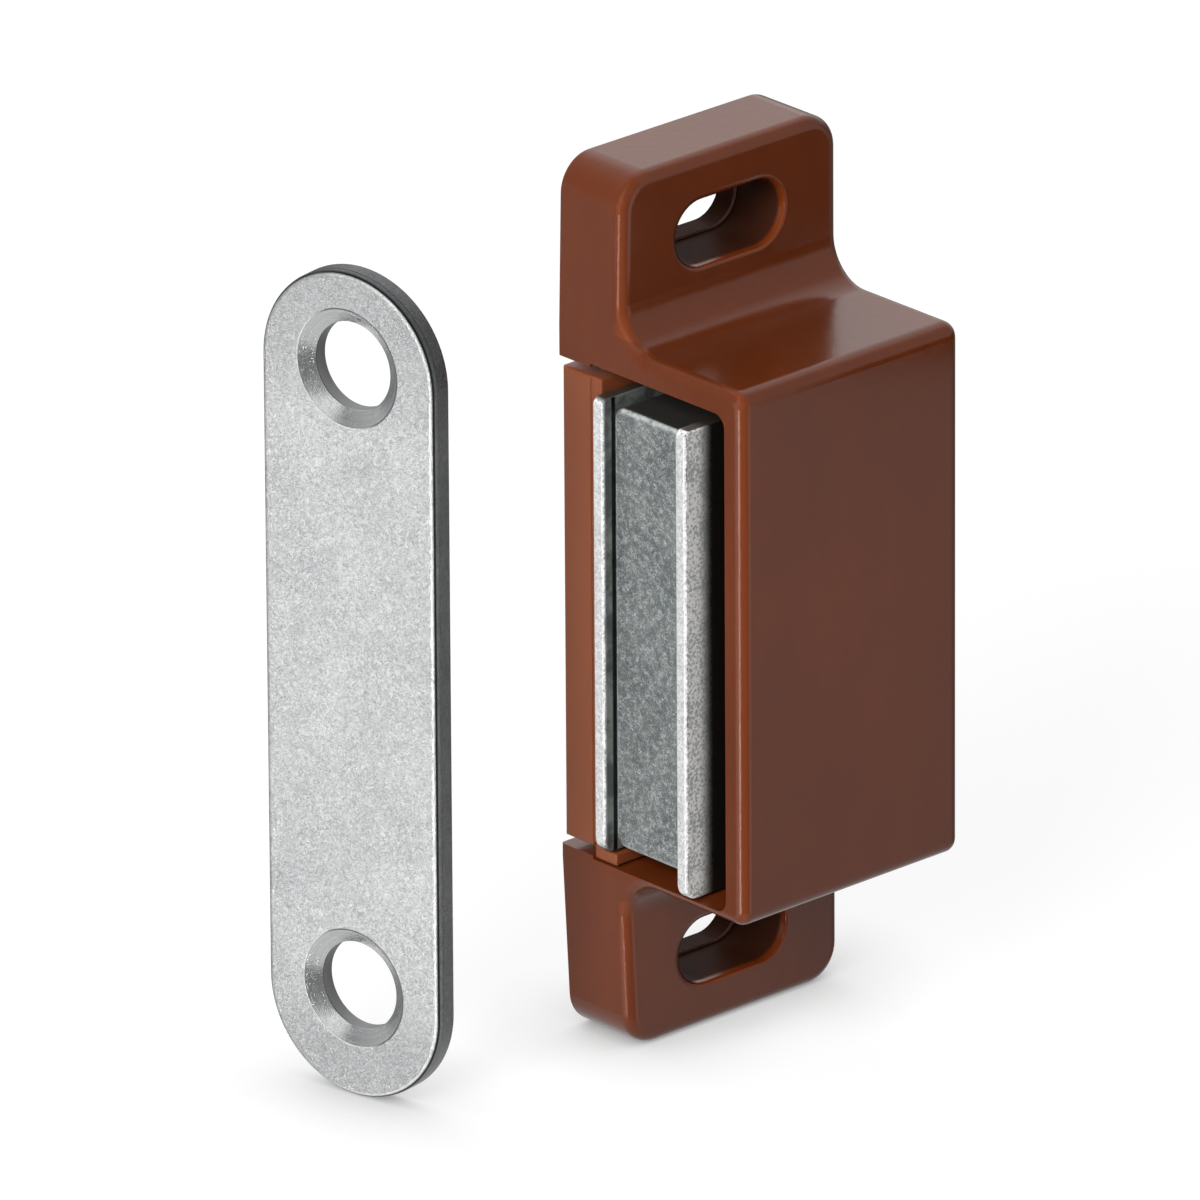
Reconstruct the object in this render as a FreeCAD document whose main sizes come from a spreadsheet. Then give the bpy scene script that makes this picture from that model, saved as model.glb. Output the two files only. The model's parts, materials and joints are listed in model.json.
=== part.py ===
"""Magnetic cabinet catch with its strike plate, standing as a pair.

Axes: X runs out from the mounting face, Y runs from the open door side into the cabinet,
Z runs up along the catch. The origin is on the mounting face, midway between the two screw slots.
"""
import FreeCAD, Part
import os

import Sketcher

SIZES = {
    # Moulded housing
    "overall_length": 46.6,
    "body_height": 28.4,
    "body_rise": 0.3,
    "body_depth": 14.7,
    "body_thickness": 13.4,
    "lug_thickness": 4.6,
    "lug_tip_radius": 1.9,
    "upper_lug_taper": 0.2,
    "lower_lug_taper": 0.5,
    "blend_radius": 2.2,
    "outer_corner_radius": 0.8,
    "edge_radius": 0.62,
    "mounting_edge_radius": 0.2,
    # Pocket that holds the magnet, open at the door side and at the mounting face
    "top_wall": 1.4,
    "bottom_wall": 0.5,
    "outer_wall": 1.3,
    "back_wall": 1.3,
    "pocket_corner_radius": 0.7,
    "cover_seat_depth": 2.36,
    "cover_seat_shoulder": 0.18,
    # Screw slots, each with a thin ledge at the mounting face
    "slot_outset": 0.45,
    "slot_length": 7.2,
    "slot_width": 3.5,
    "slot_ledge_height": 1.2,
    "slot_ledge_step": 0.15,
    "slot_edge_radius": 0.15,
    # Ribs inside the pocket
    "wall_rib_width": 1.0,
    "wall_rib_spacing": 16.0,
    "wall_rib_length": 8.0,
    "stop_rib_width": 1.0,
    "stop_rib_setback": 5.0,
    "stop_bite": 0.45,
    # Rear cover
    "cover_recess": 0.3,
    "cover_end_gap": 0.5,
    "cover_side_gap": 0.05,
    "cover_block_setback": 0.1,
    "cover_hook_gap": 0.1,
    "cover_hook_length": 3.0,
    "cover_lip_reach": 0.9,
    "cover_lip_height": 0.6,
    "cover_edge_radius": 0.2,
    # Magnet between its two pole plates
    "pack_offset": 3.1,
    "plate_thickness": 0.75,
    "plate_protrusion": 0.57,
    "plate_top_gap": 1.35,
    "plate_back_gap": 0.27,
    "inner_plate_shortening": 0.72,
    "plate_upper_radius": 0.45,
    "plate_lower_radius": 0.8,
    "plate_bevel": 0.1,
    "magnet_thickness": 5.25,
    "magnet_setback": 0.76,
    "magnet_back_setback": 0.34,
    "magnet_top_drop": 0.5,
    "magnet_bottom_rise": 1.05,
    "magnet_corner_radius": 0.7,
    "magnet_bevel": 0.15,
    "pack_float": 0.9,
    "running_gap": 0.1,
    # Strike plate and where it stands
    "strike_length": 43.8,
    "strike_width": 10.65,
    "strike_thickness": 1.27,
    "strike_hole_spacing": 33.0,
    "strike_hole_diameter": 4.6,
    "strike_hole_rise": 0.38,
    "countersink_diameter": 6.15,
    "countersink_depth": 0.5,
    "strike_edge_radius": 0.3,
    "strike_place_x": -0.84,
    "strike_front_gap": 13.2,
    "strike_turn": 10.44,
}

# Places that several pieces share, each worked out from the sizes above
SHARED = {
    "front_y": "-body_depth / 2",
    "body_top_z": "body_rise + body_height / 2",
    "body_bottom_z": "body_rise - body_height / 2",
    "tip_z": "overall_length / 2",
    "slot_spacing": "( overall_length + body_height ) / 2 + 2 * slot_outset",
    "slot_wall": "( slot_spacing - slot_width ) / 2 - slot_edge_radius - body_top_z",
    "blend_size": "min(blend_radius; slot_wall - running_gap)",
    "pocket_height": "body_height - top_wall - bottom_wall",
    "pocket_bottom_z": "body_bottom_z + bottom_wall",
    "pocket_top_z": "pocket_bottom_z + pocket_height",
    "pocket_wall_x": "body_thickness - outer_wall",
    "pocket_back_y": "body_depth / 2 - back_wall",
    "seat_top_z": "pocket_top_z - cover_seat_shoulder",
    "seat_bottom_z": "pocket_bottom_z + cover_seat_shoulder",
    "plate_bottom_z": "pocket_bottom_z + running_gap",
    "plate_length": "pocket_top_z - plate_top_gap - plate_bottom_z",
    "plate_top_z": "plate_bottom_z + plate_length",
    "plate_front_y": "front_y - plate_protrusion",
    "plate_depth": "pocket_back_y - pack_float - plate_back_gap - plate_front_y",
    "plate_back_y": "plate_front_y + plate_depth",
    "magnet_x": "pack_offset + plate_thickness",
    "magnet_length": "plate_length - magnet_top_drop - magnet_bottom_rise",
    "magnet_bottom_z": "plate_bottom_z + magnet_bottom_rise",
    "magnet_depth": "plate_depth - magnet_setback - magnet_back_setback",
    "magnet_front_y": "plate_front_y + magnet_setback",
    "magnet_back_y": "magnet_front_y + magnet_depth",
    "outer_plate_x": "magnet_x + magnet_thickness",
    "pack_end_x": "outer_plate_x + plate_thickness",
    "stop_rib_front_y": "front_y + stop_rib_setback",
    "stop_rib_back_y": "stop_rib_front_y + stop_rib_width",
    "upper_stop_z": "plate_top_z - stop_bite",
    "lower_stop_z": "plate_bottom_z + stop_bite",
    "notch_front_y": "stop_rib_front_y - pack_float - running_gap",
    "notch_back_y": "stop_rib_back_y + running_gap / 2",
    "strike_sink_end": "strike_hole_spacing / 2 + strike_hole_rise + countersink_diameter / 2",
    "strike_end_wall": "strike_length / 2 - strike_sink_end",
    "strike_rim": "min(strike_edge_radius; strike_end_wall / 2)",
}

QUARTER_TURN = FreeCAD.Units.Quantity("90 deg").getValueAs("rad").Value

# How far off a length may be, and a place, when an edge is picked by them
LENGTH_TOLERANCE = 1e-4
PLACE_TOLERANCE = 1e-3

doc = FreeCAD.newDocument("magnetic_catch")
sheet = doc.addObject("Spreadsheet::Sheet", "Sizes")


def fill_sheet():
    """Write every size and shared place into the sheet under its own name."""
    for row, (name, size) in enumerate(SIZES.items(), start=1):
        sheet.set(f"A{row}", name)
        sheet.set(f"B{row}", str(size))
        sheet.setAlias(f"B{row}", name)
    for row, (name, rule) in enumerate(SHARED.items(), start=1):
        sheet.set(f"D{row}", name)
        sheet.set(f"E{row}", f"={rule}")
        sheet.setAlias(f"E{row}", name)
    doc.recompute()


def in_sheet(rule):
    """The rule with each size's name pointing into the sheet."""
    words = rule.replace("(", "( ").replace(")", " )").split()
    known = set(SIZES) | set(SHARED)
    return " ".join(f"Sizes.{word}" if word.lstrip("-") == word and word in known
                    else f"-Sizes.{word[1:]}" if word[1:] in known else word for word in words)


def number(rule):
    """The rule's value in millimetres."""
    return float(sheet.evalExpression(in_sheet(rule)))


def bind(thing, place, rule):
    thing.setExpression(place, in_sheet(rule))


def new_body(name):
    body = doc.addObject("PartDesign::Body", name)
    body.Label = name
    return body


def new_sketch(body, name, plane, offset=None):
    """A sketch on one of the body's own origin planes, moved along the plane's normal."""
    sketch = body.newObject("Sketcher::SketchObject", name)
    origin_plane = next(item for item in body.Origin.OriginFeatures if item.Role == plane)
    sketch.AttachmentSupport = [(origin_plane, "")]
    sketch.MapMode = "FlatFace"
    if offset:
        bind(sketch, "AttachmentOffset.Base.z", offset)
    return sketch


def pin_point(sketch, piece, point, across, up):
    """Fix one point of the sketch at two rules."""
    for kind, rule in (("DistanceX", across), ("DistanceY", up)):
        index = sketch.addConstraint(
            Sketcher.Constraint(kind, -1, 1, piece, point, number(rule)))
        bind(sketch, f"Constraints[{index}]", rule)


def draw_outline(sketch, corners):
    """A closed outline through corners given as pairs of rules."""
    points = [FreeCAD.Vector(number(across), number(up), 0) for across, up in corners]
    lines = [sketch.addGeometry(Part.LineSegment(start, end))
             for start, end in zip(points, points[1:] + points[:1])]
    for line, following in zip(lines, lines[1:] + lines[:1]):
        sketch.addConstraint(Sketcher.Constraint("Coincident", line, 2, following, 1))
    for line, (across, up) in zip(lines, corners):
        pin_point(sketch, line, 1, across, up)


def draw_box(sketch, left, right, low, high):
    draw_outline(sketch, [(left, low), (right, low), (right, high), (left, high)])


def draw_round_slot(sketch, centre, half_run, radius, upright=False):
    """A slot with full round ends, its centre, half its straight run and its end radius as rules."""
    ends = []
    for sign in ("-", "+"):
        shift = f"{sign} ( {half_run} )"
        across, up = centre
        ends.append((across, f"{up} {shift}") if upright else (f"{across} {shift}", up))
    arcs = []
    for (across, up), quarters in zip(ends, (2, 0) if upright else (1, -1)):
        centre_point = FreeCAD.Vector(number(across), number(up), 0)
        circle = Part.Circle(centre_point, FreeCAD.Vector(0, 0, 1), number(radius))
        arc = sketch.addGeometry(Part.ArcOfCircle(circle, quarters * QUARTER_TURN,
                                                  (quarters + 2) * QUARTER_TURN))
        pin_point(sketch, arc, 3, across, up)
        index = sketch.addConstraint(Sketcher.Constraint("Radius", arc, number(radius)))
        bind(sketch, f"Constraints[{index}]", radius)
        arcs.append((arc, sketch.Geometry[arc]))
    (first, first_arc), (second, second_arc) = arcs
    for (start, start_arc), (end, end_arc) in (((first, first_arc), (second, second_arc)),
                                               ((second, second_arc), (first, first_arc))):
        line = sketch.addGeometry(Part.LineSegment(start_arc.EndPoint, end_arc.StartPoint))
        sketch.addConstraint(Sketcher.Constraint("Tangent", start, 2, line, 1))
        sketch.addConstraint(Sketcher.Constraint("Tangent", line, 2, end, 1))


def draw_circle(sketch, across, up, radius):
    circle = sketch.addGeometry(Part.Circle(FreeCAD.Vector(number(across), number(up), 0),
                                            FreeCAD.Vector(0, 0, 1), number(radius)))
    pin_point(sketch, circle, 3, across, up)
    index = sketch.addConstraint(Sketcher.Constraint("Radius", circle, number(radius)))
    bind(sketch, f"Constraints[{index}]", radius)


def grow(body, kind, name, sketch, length, midplane=False, reverse=False):
    """A pad or a pocket from a sketch. It must change the body's volume the right way."""
    before = body.Shape.Volume if body.Tip else 0
    feature = body.newObject(f"PartDesign::{kind}", name)
    feature.Profile = sketch
    bind(feature, "Length", length)
    feature.Midplane = midplane
    feature.Reversed = reverse
    doc.recompute()
    gained = body.Shape.Volume - before
    if (gained <= 0) == (kind == "Pad"):
        raise ValueError(f"{body.Label}: {name} points away from the solid")
    return feature


def round_edges(body, name, radius, wanted):
    """Round each edge of the body's last feature that the test picks."""
    dress_edges(body, "Fillet", name, "Radius", radius, wanted)


def bevel_edges(body, name, size, wanted):
    """Bevel each edge of the body's last feature that the test picks."""
    dress_edges(body, "Chamfer", name, "Size", size, wanted)


def dress_edges(body, kind, name, measure, size, wanted):
    base = body.Tip
    names = [f"Edge{index}" for index, edge in enumerate(base.Shape.Edges, start=1) if wanted(edge)]
    dressing = body.newObject(f"PartDesign::{kind}", name)
    dressing.Base = (base, names)
    bind(dressing, measure, size)
    doc.recompute()


def near(value, rule, tolerance=LENGTH_TOLERANCE):
    return abs(value - number(rule)) < tolerance


def ends_apart(edge):
    """How far an edge's ends lie apart along X, Y and Z."""
    first, last = edge.Vertexes[0].Point, edge.Vertexes[-1].Point
    return [abs(first[axis] - last[axis]) for axis in range(3)]


def runs_along(edge, axis):
    """Whether the edge is straight along the axis: 0 is X, 1 is Y and 2 is Z."""
    spans = ends_apart(edge)
    return spans[axis] > PLACE_TOLERANCE and sum(spans) - spans[axis] < LENGTH_TOLERANCE


def lies_on(edge, axis, rule):
    """Whether the whole edge lies in the plane at the rule's value along the axis."""
    box = edge.BoundBox
    low, high = ((box.XMin, box.XMax), (box.YMin, box.YMax), (box.ZMin, box.ZMax))[axis]
    return near(low, rule, PLACE_TOLERANCE) and near(high, rule, PLACE_TOLERANCE)


def make_housing():
    """One brown moulding: a deep box with a flat lug at each end, open at the front and the back."""
    body = new_body("housing")
    shape_outside(body)
    cut_pocket(body)
    add_pocket_ribs(body)
    cut_screw_slots(body)
    return body


def shape_outside(body):
    """The side profile, the lugs' taper and the rounded edges."""
    profile = new_sketch(body, "side_profile", "XZ_Plane")
    draw_outline(profile, [
        ("0", "-tip_z"), ("lug_thickness", "-tip_z"),
        ("lug_thickness", "body_bottom_z"), ("body_thickness", "body_bottom_z"),
        ("body_thickness", "body_top_z"), ("lug_thickness", "body_top_z"),
        ("lug_thickness", "tip_z"), ("0", "tip_z")])
    grow(body, "Pad", "block", profile, "body_depth", midplane=True)

    tapers = new_sketch(body, "lug_tapers", "YZ_Plane")
    for root, tip, taper in (("body_top_z", "tip_z", "upper_lug_taper"),
                             ("body_bottom_z", "-tip_z", "lower_lug_taper")):
        draw_outline(tapers, [("front_y", root), ("front_y", tip), (f"front_y + {taper}", tip)])
    grow(body, "Pocket", "taper_cut", tapers, "lug_thickness", reverse=True)

    def is_lug_tip_corner(edge):
        at_tip = lies_on(edge, 2, "tip_z") or lies_on(edge, 2, "-tip_z")
        return runs_along(edge, 0) and at_tip
    round_edges(body, "lug_tip_corners", "lug_tip_radius", is_lug_tip_corner)

    def is_blend(edge):
        return (runs_along(edge, 1) and lies_on(edge, 0, "lug_thickness")
                and (lies_on(edge, 2, "body_top_z") or lies_on(edge, 2, "body_bottom_z")))
    round_edges(body, "lug_blends", "blend_size", is_blend)

    def is_outer_corner(edge):
        return runs_along(edge, 1) and lies_on(edge, 0, "body_thickness")
    round_edges(body, "outer_corners", "outer_corner_radius", is_outer_corner)

    def starts_rim(edge):
        return runs_along(edge, 2) and lies_on(edge, 0, "body_thickness")
    round_edges(body, "rim", "edge_radius", starts_rim)

    def is_mounting_edge(edge):
        return lies_on(edge, 0, "0")
    round_edges(body, "mounting_edges", "mounting_edge_radius", is_mounting_edge)


def cut_pocket(body):
    """The room for the magnet. Its mouth towards the mounting face is a little lower, as a shoulder."""
    section = new_sketch(body, "pocket_section", "XZ_Plane", "-front_y + plate_protrusion")
    draw_outline(section, [
        ("-lug_thickness", "seat_bottom_z"), ("cover_seat_depth", "seat_bottom_z"),
        ("cover_seat_depth", "pocket_bottom_z"), ("pocket_wall_x", "pocket_bottom_z"),
        ("pocket_wall_x", "pocket_top_z"), ("cover_seat_depth", "pocket_top_z"),
        ("cover_seat_depth", "seat_top_z"), ("-lug_thickness", "seat_top_z")])
    grow(body, "Pocket", "pocket", section, "plate_protrusion + body_depth - back_wall")

    def is_pocket_corner(edge):
        return (runs_along(edge, 1) and lies_on(edge, 0, "pocket_wall_x")
                and (lies_on(edge, 2, "pocket_top_z") or lies_on(edge, 2, "pocket_bottom_z")))
    round_edges(body, "pocket_corners", "pocket_corner_radius", is_pocket_corner)


def add_pocket_ribs(body):
    """Two ribs on the outer wall hold the pack sideways; one at each end bites in its notches."""
    wall_ribs = new_sketch(body, "wall_rib_section", "XZ_Plane", "-pocket_back_y")
    for sign in ("-", "+"):
        middle = f"0 {sign} wall_rib_spacing / 2"
        draw_box(wall_ribs, "pack_end_x + running_gap", "pocket_wall_x + outer_wall / 2",
                 f"{middle} - wall_rib_width / 2", f"{middle} + wall_rib_width / 2")
    grow(body, "Pad", "wall_ribs", wall_ribs, "wall_rib_length")

    stop_ribs = new_sketch(body, "stop_rib_section", "XZ_Plane", "-stop_rib_back_y")
    draw_box(stop_ribs, "pack_offset + running_gap", "pocket_wall_x + outer_wall / 2",
             "upper_stop_z", "pocket_top_z + running_gap")
    draw_box(stop_ribs, "pack_offset + cover_lip_reach + running_gap",
             "pocket_wall_x + outer_wall / 2", "pocket_bottom_z - running_gap", "lower_stop_z")
    grow(body, "Pad", "stop_ribs", stop_ribs, "stop_rib_width")


def cut_screw_slots(body):
    """An oblong slot through each lug, narrower by a step at the mounting face."""
    for name, start, inset in (("slots", None, "slot_ledge_step"),
                               ("slot_mouths", "slot_ledge_height", "0")):
        section = new_sketch(body, f"{name}_section", "YZ_Plane", start)
        for sign in ("-", "+"):
            draw_round_slot(section, ("0", f"0 {sign} slot_spacing / 2"),
                            "( slot_length - slot_width ) / 2", f"slot_width / 2 - {inset}")
        grow(body, "Pocket", name, section, "lug_thickness", reverse=True)

    def is_slot_mouth(edge):
        inside = abs(edge.CenterOfMass.y) < number("slot_length / 2 + slot_edge_radius")
        return inside and lies_on(edge, 0, "lug_thickness") and edge.Length < number("slot_length")
    round_edges(body, "slot_rims", "slot_edge_radius", is_slot_mouth)


def make_rear_cover():
    """The snap-in back of the pocket: a strip, a raised block and a lip under the inner pole plate."""
    body = new_body("rear_cover")
    depth = "body_depth - back_wall - cover_side_gap"

    strip = new_sketch(body, "strip_section", "XZ_Plane", "-front_y")
    draw_box(strip, "cover_recess", "cover_seat_depth",
             "seat_bottom_z + cover_end_gap", "seat_top_z - cover_end_gap")
    grow(body, "Pad", "strip", strip, depth, reverse=True)

    block = new_sketch(body, "block_section", "XZ_Plane", "-front_y - cover_block_setback")
    hook_x = "cover_seat_depth + cover_hook_gap"
    foot_z = "pocket_bottom_z + cover_hook_gap"
    lip_x = "pack_offset + cover_lip_reach"
    draw_outline(block, [
        ("cover_seat_depth - cover_edge_radius", "seat_bottom_z + cover_end_gap + cover_edge_radius"),
        (hook_x, "seat_bottom_z + cover_end_gap + cover_edge_radius"),
        (hook_x, foot_z), (lip_x, foot_z),
        (lip_x, f"{foot_z} + cover_lip_height"), ("pack_offset", f"{foot_z} + cover_lip_height"),
        ("pack_offset", "seat_top_z - cover_end_gap"),
        ("cover_seat_depth - cover_edge_radius", "seat_top_z - cover_end_gap")])
    grow(body, "Pad", "block", block, f"{depth} - cover_block_setback", reverse=True)

    hook = new_sketch(body, "hook_section", "XZ_Plane", "-stop_rib_front_y")
    draw_box(hook, hook_x, "pack_offset", "seat_top_z - cover_end_gap - cover_edge_radius",
             "pocket_top_z - cover_hook_gap")
    grow(body, "Pad", "top_hook", hook, "cover_hook_length", reverse=True)

    def is_strip_edge(edge):
        upright = runs_along(edge, 2) and lies_on(edge, 0, "cover_recess")
        ends = runs_along(edge, 0) and lies_on(edge, 1, "front_y")
        return upright or ends
    round_edges(body, "strip_edges", "cover_edge_radius", is_strip_edge)
    return body


def make_pole_plate(name, place_x, bottom):
    """A flat steel plate, rounded at its front corners and notched at its ends for the stop ribs."""
    body = new_body(name)
    outline = new_sketch(body, "outline", "YZ_Plane", place_x)
    upper_notch = "upper_stop_z - running_gap"
    lower_notch = "lower_stop_z + running_gap"
    corners = [("plate_front_y", bottom), ("plate_front_y", "plate_top_z"),
               ("notch_front_y", "plate_top_z"), ("notch_front_y", upper_notch),
               ("notch_back_y", upper_notch), ("notch_back_y", "plate_top_z"),
               ("plate_back_y", "plate_top_z"), ("plate_back_y", bottom)]
    if bottom == "plate_bottom_z":
        corners += [("notch_back_y", bottom), ("notch_back_y", lower_notch),
                    ("notch_front_y", lower_notch), ("notch_front_y", bottom)]
    draw_outline(outline, corners)
    grow(body, "Pad", "plate", outline, "plate_thickness")

    def is_front_corner(level):
        return lambda edge: (runs_along(edge, 0) and lies_on(edge, 1, "plate_front_y")
                             and lies_on(edge, 2, level))
    round_edges(body, "upper_corner", "plate_upper_radius", is_front_corner("plate_top_z"))
    round_edges(body, "lower_corner", "plate_lower_radius", is_front_corner(bottom))

    def is_front_rim(edge):
        return runs_along(edge, 2) and lies_on(edge, 1, "plate_front_y")
    bevel_edges(body, "front_rim", "plate_bevel", is_front_rim)
    return body


def make_magnet():
    """The ferrite block, a little shorter than its pole plates and set back from their fronts."""
    body = new_body("magnet")
    section = new_sketch(body, "section", "XZ_Plane", "-magnet_front_y")
    draw_box(section, "magnet_x", "outer_plate_x", "magnet_bottom_z",
             "magnet_bottom_z + magnet_length")
    grow(body, "Pad", "block", section, "magnet_depth", reverse=True)

    def is_long_corner(edge):
        return runs_along(edge, 1)
    round_edges(body, "long_corners", "magnet_corner_radius", is_long_corner)

    def starts_end_rim(edge):
        at_end = lies_on(edge, 1, "magnet_front_y") or lies_on(edge, 1, "magnet_back_y")
        return runs_along(edge, 2) and at_end
    bevel_edges(body, "end_rims", "magnet_bevel", starts_end_rim)
    return body


def make_strike_plate():
    """A stamped plate with full round ends and two countersunk holes, standing beside the catch."""
    body = new_body("strike_plate")
    outline = new_sketch(body, "outline", "XZ_Plane")
    draw_round_slot(outline, ("0", "0"), "( strike_length - strike_width ) / 2",
                    "strike_width / 2", upright=True)
    grow(body, "Pad", "plate", outline, "strike_thickness", reverse=True)

    def is_front_rim(edge):
        return lies_on(edge, 1, "0")
    round_edges(body, "front_rim", "strike_rim", is_front_rim)

    holes = new_sketch(body, "holes", "XZ_Plane")
    for sign in ("-", "+"):
        draw_circle(holes, "0", f"strike_hole_rise {sign} strike_hole_spacing / 2",
                    "strike_hole_diameter / 2")
    grow(body, "Pocket", "screw_holes", holes, "strike_thickness")

    base = body.Tip
    mouths = [f"Edge{index}" for index, edge in enumerate(base.Shape.Edges, start=1)
              if lies_on(edge, 1, "0") and near(edge.Length, "pi * strike_hole_diameter")]
    countersinks = body.newObject("PartDesign::Chamfer", "countersinks")
    countersinks.Base = (base, mouths)
    countersinks.ChamferType = "Two distances"
    bind(countersinks, "Size", "( countersink_diameter - strike_hole_diameter ) / 2")
    bind(countersinks, "Size2", "countersink_depth")

    bind(body, "Placement.Base.x", "strike_place_x")
    bind(body, "Placement.Base.y", "front_y - strike_front_gap")
    bind(body, "Placement.Base.z", "strike_length / 2 - tip_z")
    body.Placement.Rotation = FreeCAD.Rotation(FreeCAD.Vector(0, 0, 1), number("strike_turn"))
    bind(body, "Placement.Rotation.Angle", "strike_turn")
    doc.recompute()
    return body


def check_and_export(bodies):
    """Stop at any failed feature or invalid shape, and only then write the files."""
    doc.recompute()
    for item in doc.Objects:
        if "Invalid" in item.State or "Error" in item.State:
            raise ValueError(f"{item.Name} is {item.State}")
    for body in bodies:
        if body.Shape.isNull() or not body.Shape.isValid() or len(body.Shape.Solids) != 1:
            raise ValueError(f"{body.Label} is not one valid solid")
    os.makedirs("parts", exist_ok=True)
    for body in bodies:
        body.Shape.exportStep(f"parts/{body.Label}.step")
        print(body.Label, round(body.Shape.Volume, 3))


fill_sheet()
check_and_export([
    make_housing(),
    make_rear_cover(),
    make_magnet(),
    make_pole_plate("pole_plate_inner", "pack_offset", "plate_bottom_z + inner_plate_shortening"),
    make_pole_plate("pole_plate_outer", "outer_plate_x", "plate_bottom_z"),
    make_strike_plate(),
])
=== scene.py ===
"""Looks of the magnetic cabinet catch and its strike plate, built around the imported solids.

Metres, in the frame of the solids: X out from the mounting face, Y into the cabinet, Z up.
"""
import functools
import json
import math

import bmesh
import bpy
from mathutils import Matrix, Vector


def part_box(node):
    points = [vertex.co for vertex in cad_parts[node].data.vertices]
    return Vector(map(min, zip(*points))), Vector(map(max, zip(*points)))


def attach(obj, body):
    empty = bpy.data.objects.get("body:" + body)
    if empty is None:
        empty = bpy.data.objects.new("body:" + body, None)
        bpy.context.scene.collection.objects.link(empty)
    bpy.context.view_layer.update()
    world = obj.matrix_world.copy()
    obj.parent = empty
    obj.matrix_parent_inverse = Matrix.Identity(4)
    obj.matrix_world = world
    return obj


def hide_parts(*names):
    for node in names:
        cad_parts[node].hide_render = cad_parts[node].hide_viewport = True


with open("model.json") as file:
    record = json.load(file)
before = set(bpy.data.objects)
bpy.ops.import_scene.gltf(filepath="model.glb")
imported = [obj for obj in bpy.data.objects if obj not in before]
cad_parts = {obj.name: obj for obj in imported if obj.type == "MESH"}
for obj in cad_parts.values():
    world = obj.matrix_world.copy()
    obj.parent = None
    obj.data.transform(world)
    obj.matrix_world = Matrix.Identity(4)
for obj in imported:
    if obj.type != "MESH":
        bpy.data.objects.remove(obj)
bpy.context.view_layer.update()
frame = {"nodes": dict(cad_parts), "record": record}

MM = 0.001

# Camera, at the photograph's angle
CAMERA_TARGET = Vector((-4.682, -0.35, -3.528)) * MM
CAMERA_DISTANCE = 1.1
CAMERA_AZIMUTH = math.radians(47.632)
CAMERA_ELEVATION = math.radians(22.184)
CAMERA_ROLL = math.radians(-0.342)
CAMERA_LENS = 660
CAMERA_SENSOR = 36
CAMERA_CLIP = (0.01, 20)

# Stage and light
FLOOR_Z = -23.3 * MM
FLOOR_SIZE = 6.0
FLOOR_PAINT = 0.50
FLOOR_PAINT_SEEN = 0.20
FLOOR_GLOW = 0.86
CONTACT_SHADOW = 0.75
CONTACT_REACH = 7 * MM
DOME_LIGHT = 0.24
# Each soft lamp's name, place, width and height, and light on a facing surface
SOFTBOXES = (("key_softbox", (0.29, -0.75, 0.45), (0.45, 0.45), 1.08),
             ("rear_softbox", (-0.60, 0.15, 0.55), (0.50, 0.50), 0.35))

# What a shiny surface sees round the object, low and high, as pairs of degrees and level.
# The degrees run to the right from the side where the camera stands. Dark stretches are cards.
LOW_RING = [(-180, 0.26), (-130, 0.24), (-112, 0.52), (-84, 0.58), (-76, 0.95), (-68, 1.45),
            (-50, 1.2), (-32, 1.1), (-28, 0.25), (40, 0.25), (50, 0.5), (56, 1.7),
            (61, 1.7), (68, 0.78), (92, 0.78), (108, 0.25), (180, 0.30)]
HIGH_RING = [(-180, 1.3), (-168, 1.15), (-148, 0.75), (-120, 0.55), (-95, 0.42), (-66, 0.32),
             (-50, 1.1), (-27, 1.1), (-22, 0.35), (50, 0.4), (70, 0.8), (110, 0.6),
             (140, 1.3), (180, 1.3)]
RING_PEAK = 1.7
# Where the rings fade into each other and end below, as sines of the height
UNDER_RING_END = -0.62
LOW_RING_START = -0.46
LOW_RING_END = -0.04
HIGH_RING_START = 0.20
UNDER_RING_LEVEL = 0.76
# A small bright strip in the low ring, which draws the pale lines on upright rounded edges
STRIP_TURN = math.radians(-37.5)
STRIP_HALF_TURN = math.radians(5.5)
STRIP_RISE = -0.375
STRIP_HALF_RISE = 0.03
STRIP_LEVEL = 15.0

# A black card that only shiny surfaces see. It stands where the upper lug's face looks.
CARD_DIRECTION = Vector((0.736, 0.677, 0))
CARD_DISTANCE = 30 * MM
CARD_LOW = 5.2 * MM
CARD_HIGH = 16 * MM
CARD_HALF_WIDTH = 9 * MM

# Housing: the lugs, the screw slots in them, and the two mouldings' skins
LUG_FACE_X = 4.6 * MM
LUG_ROOT = (14.2 * MM, 15.2 * MM)
SLOT_SPACING = 38.4 * MM
SLOT_LENGTH = 7.2 * MM
SLOT_WIDTH = 3.5 * MM
SLOT_LEDGE_X = 1.2 * MM
SLOT_LIP = 0.32 * MM
# Depths behind the lug face over which the slot walls take on their darker, painted-shade colour
SLOT_SHADE_FROM = (0.50 * MM, 0.15 * MM)
# Distances from the rims over which their painted glow fades out
RIM_GLOW_FADE = (0.20 * MM, 0.62 * MM)
HOUSING_SKIN = 0.010 * MM
COVER_SKIN = 0.014 * MM
COVER_EDGE = 0.18 * MM

# Magnet and pole plates: rounded edges, and how far behind its front edge a plate is painted darker,
# as painted shade in the pocket
MAGNET_ROUNDING = 0.06 * MM
PLATE_ROUNDING = 0.05 * MM
INNER_PAINTED_SHADE = (0.06 * MM, 0.24 * MM)
OUTER_PAINTED_SHADE = (0.85 * MM, 1.85 * MM)

# Clean-up of the copied solids
MERGE_DISTANCE = 0.0005 * MM
FLAT_ANGLE = math.radians(0.2)
ROUNDED_ANGLE = math.radians(30)
SHARP_ANGLE = math.radians(40)
STRIKE_SHARP_ANGLE = math.radians(32)
NORMAL_WEIGHT = 95

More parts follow.
